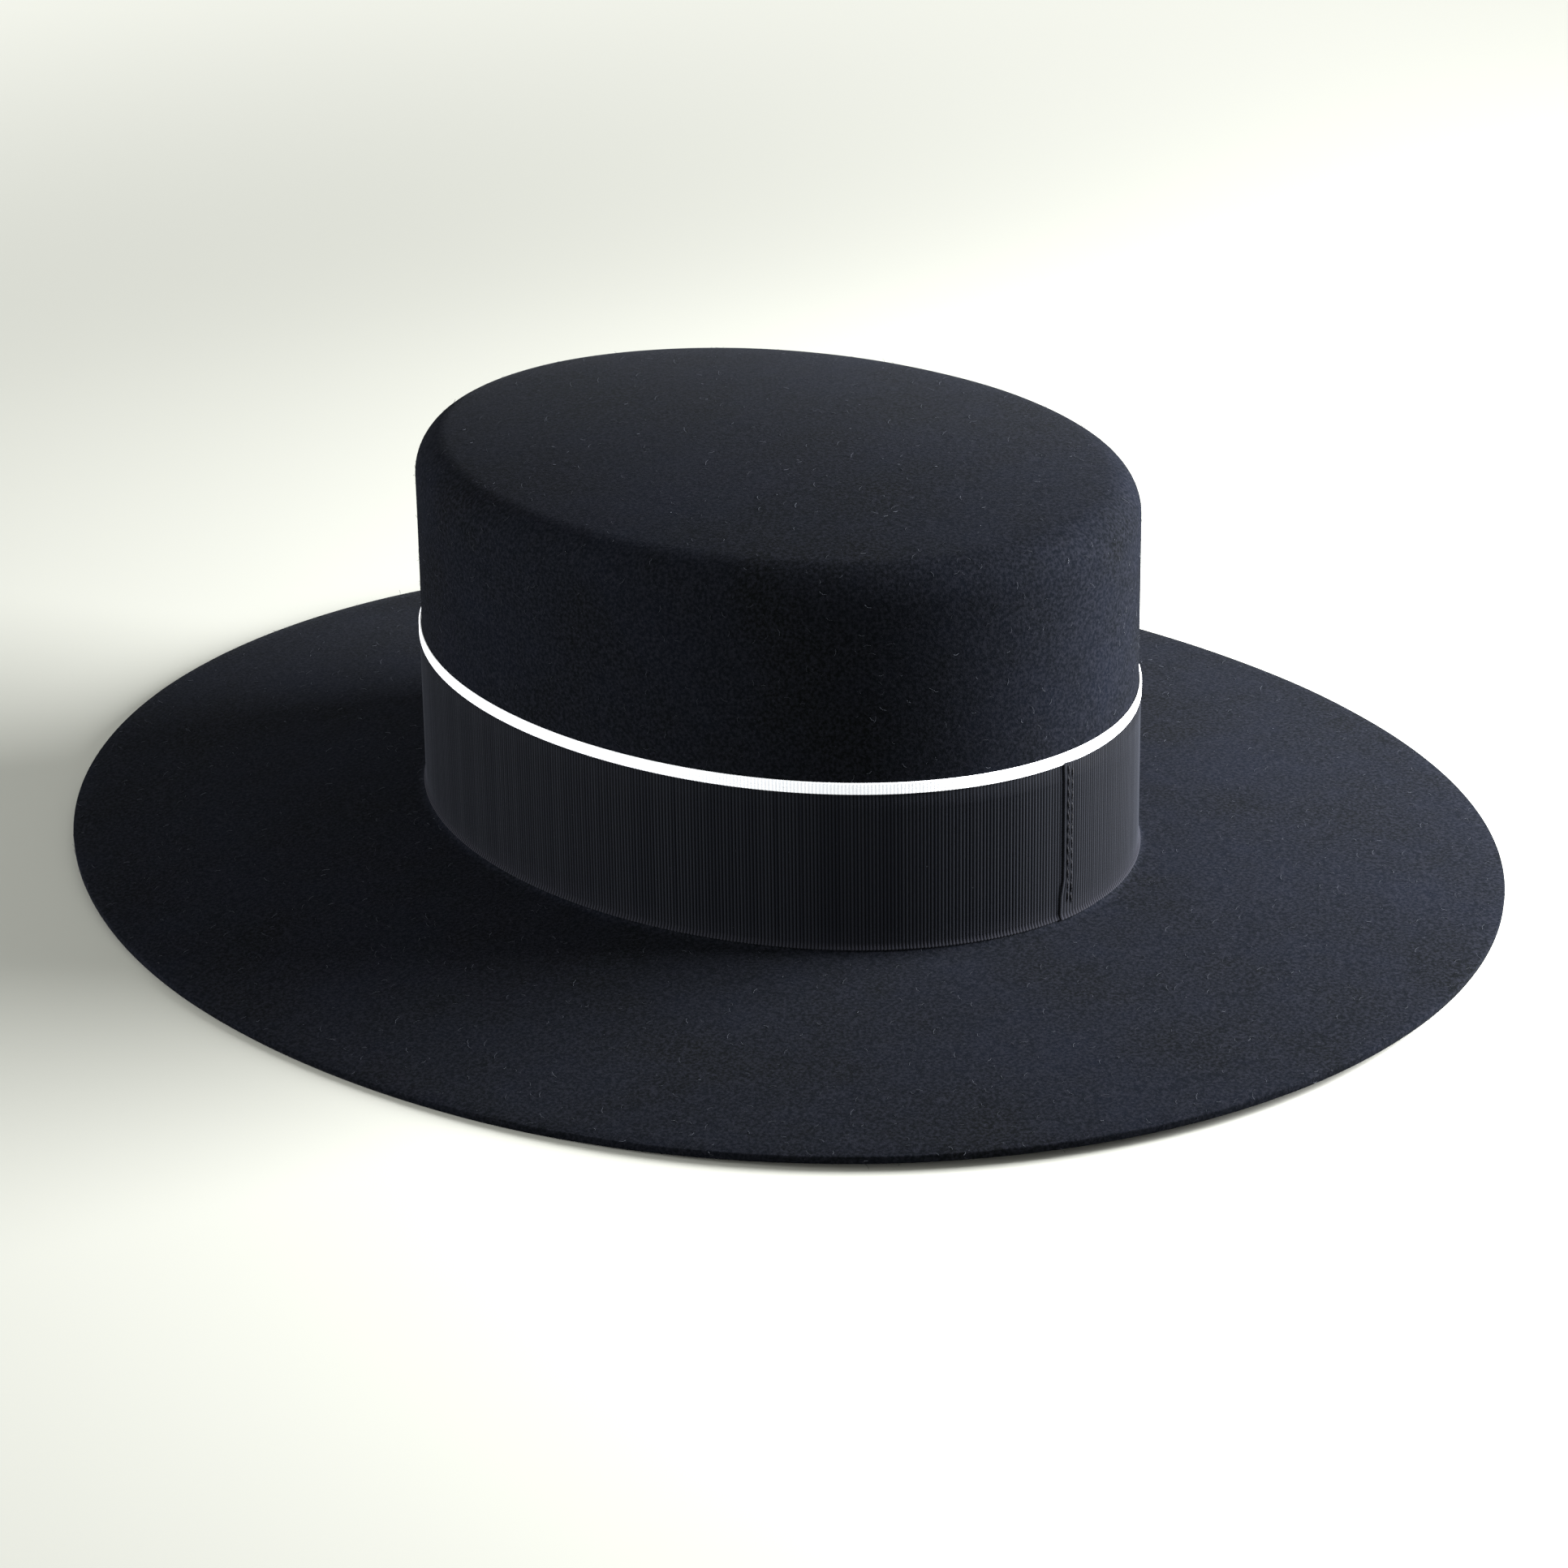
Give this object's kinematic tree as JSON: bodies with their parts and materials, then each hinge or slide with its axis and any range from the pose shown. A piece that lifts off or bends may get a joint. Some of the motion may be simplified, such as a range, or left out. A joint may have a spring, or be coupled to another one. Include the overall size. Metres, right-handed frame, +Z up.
{
  "type": "gaucho hat",
  "caption": "Stiff black felt hat with a flat-topped oval crown, a wide level brim, a grosgrain ribbon and a narrow white edge along its top.",
  "frame": {"origin": "on the surface that the brim rests on, below the middle of the outline", "axes": "+Z up, -Y to the front of the hat, +X to the wearer's left"},
  "size_m": [0.36, 0.414, 0.12],
  "materials": {
    "felt": "blocked black fur felt with a short brushed nap",
    "ribbon": "black grosgrain ribbon with fine upright ribs",
    "white_ribbon": "white grosgrain ribbon, folded to a narrow edge"
  },
  "bodies": {
    "root": {"felt_body": "felt", "ribbon_band": "ribbon", "white_edge": "white_ribbon"}
  },
  "joints": []
}
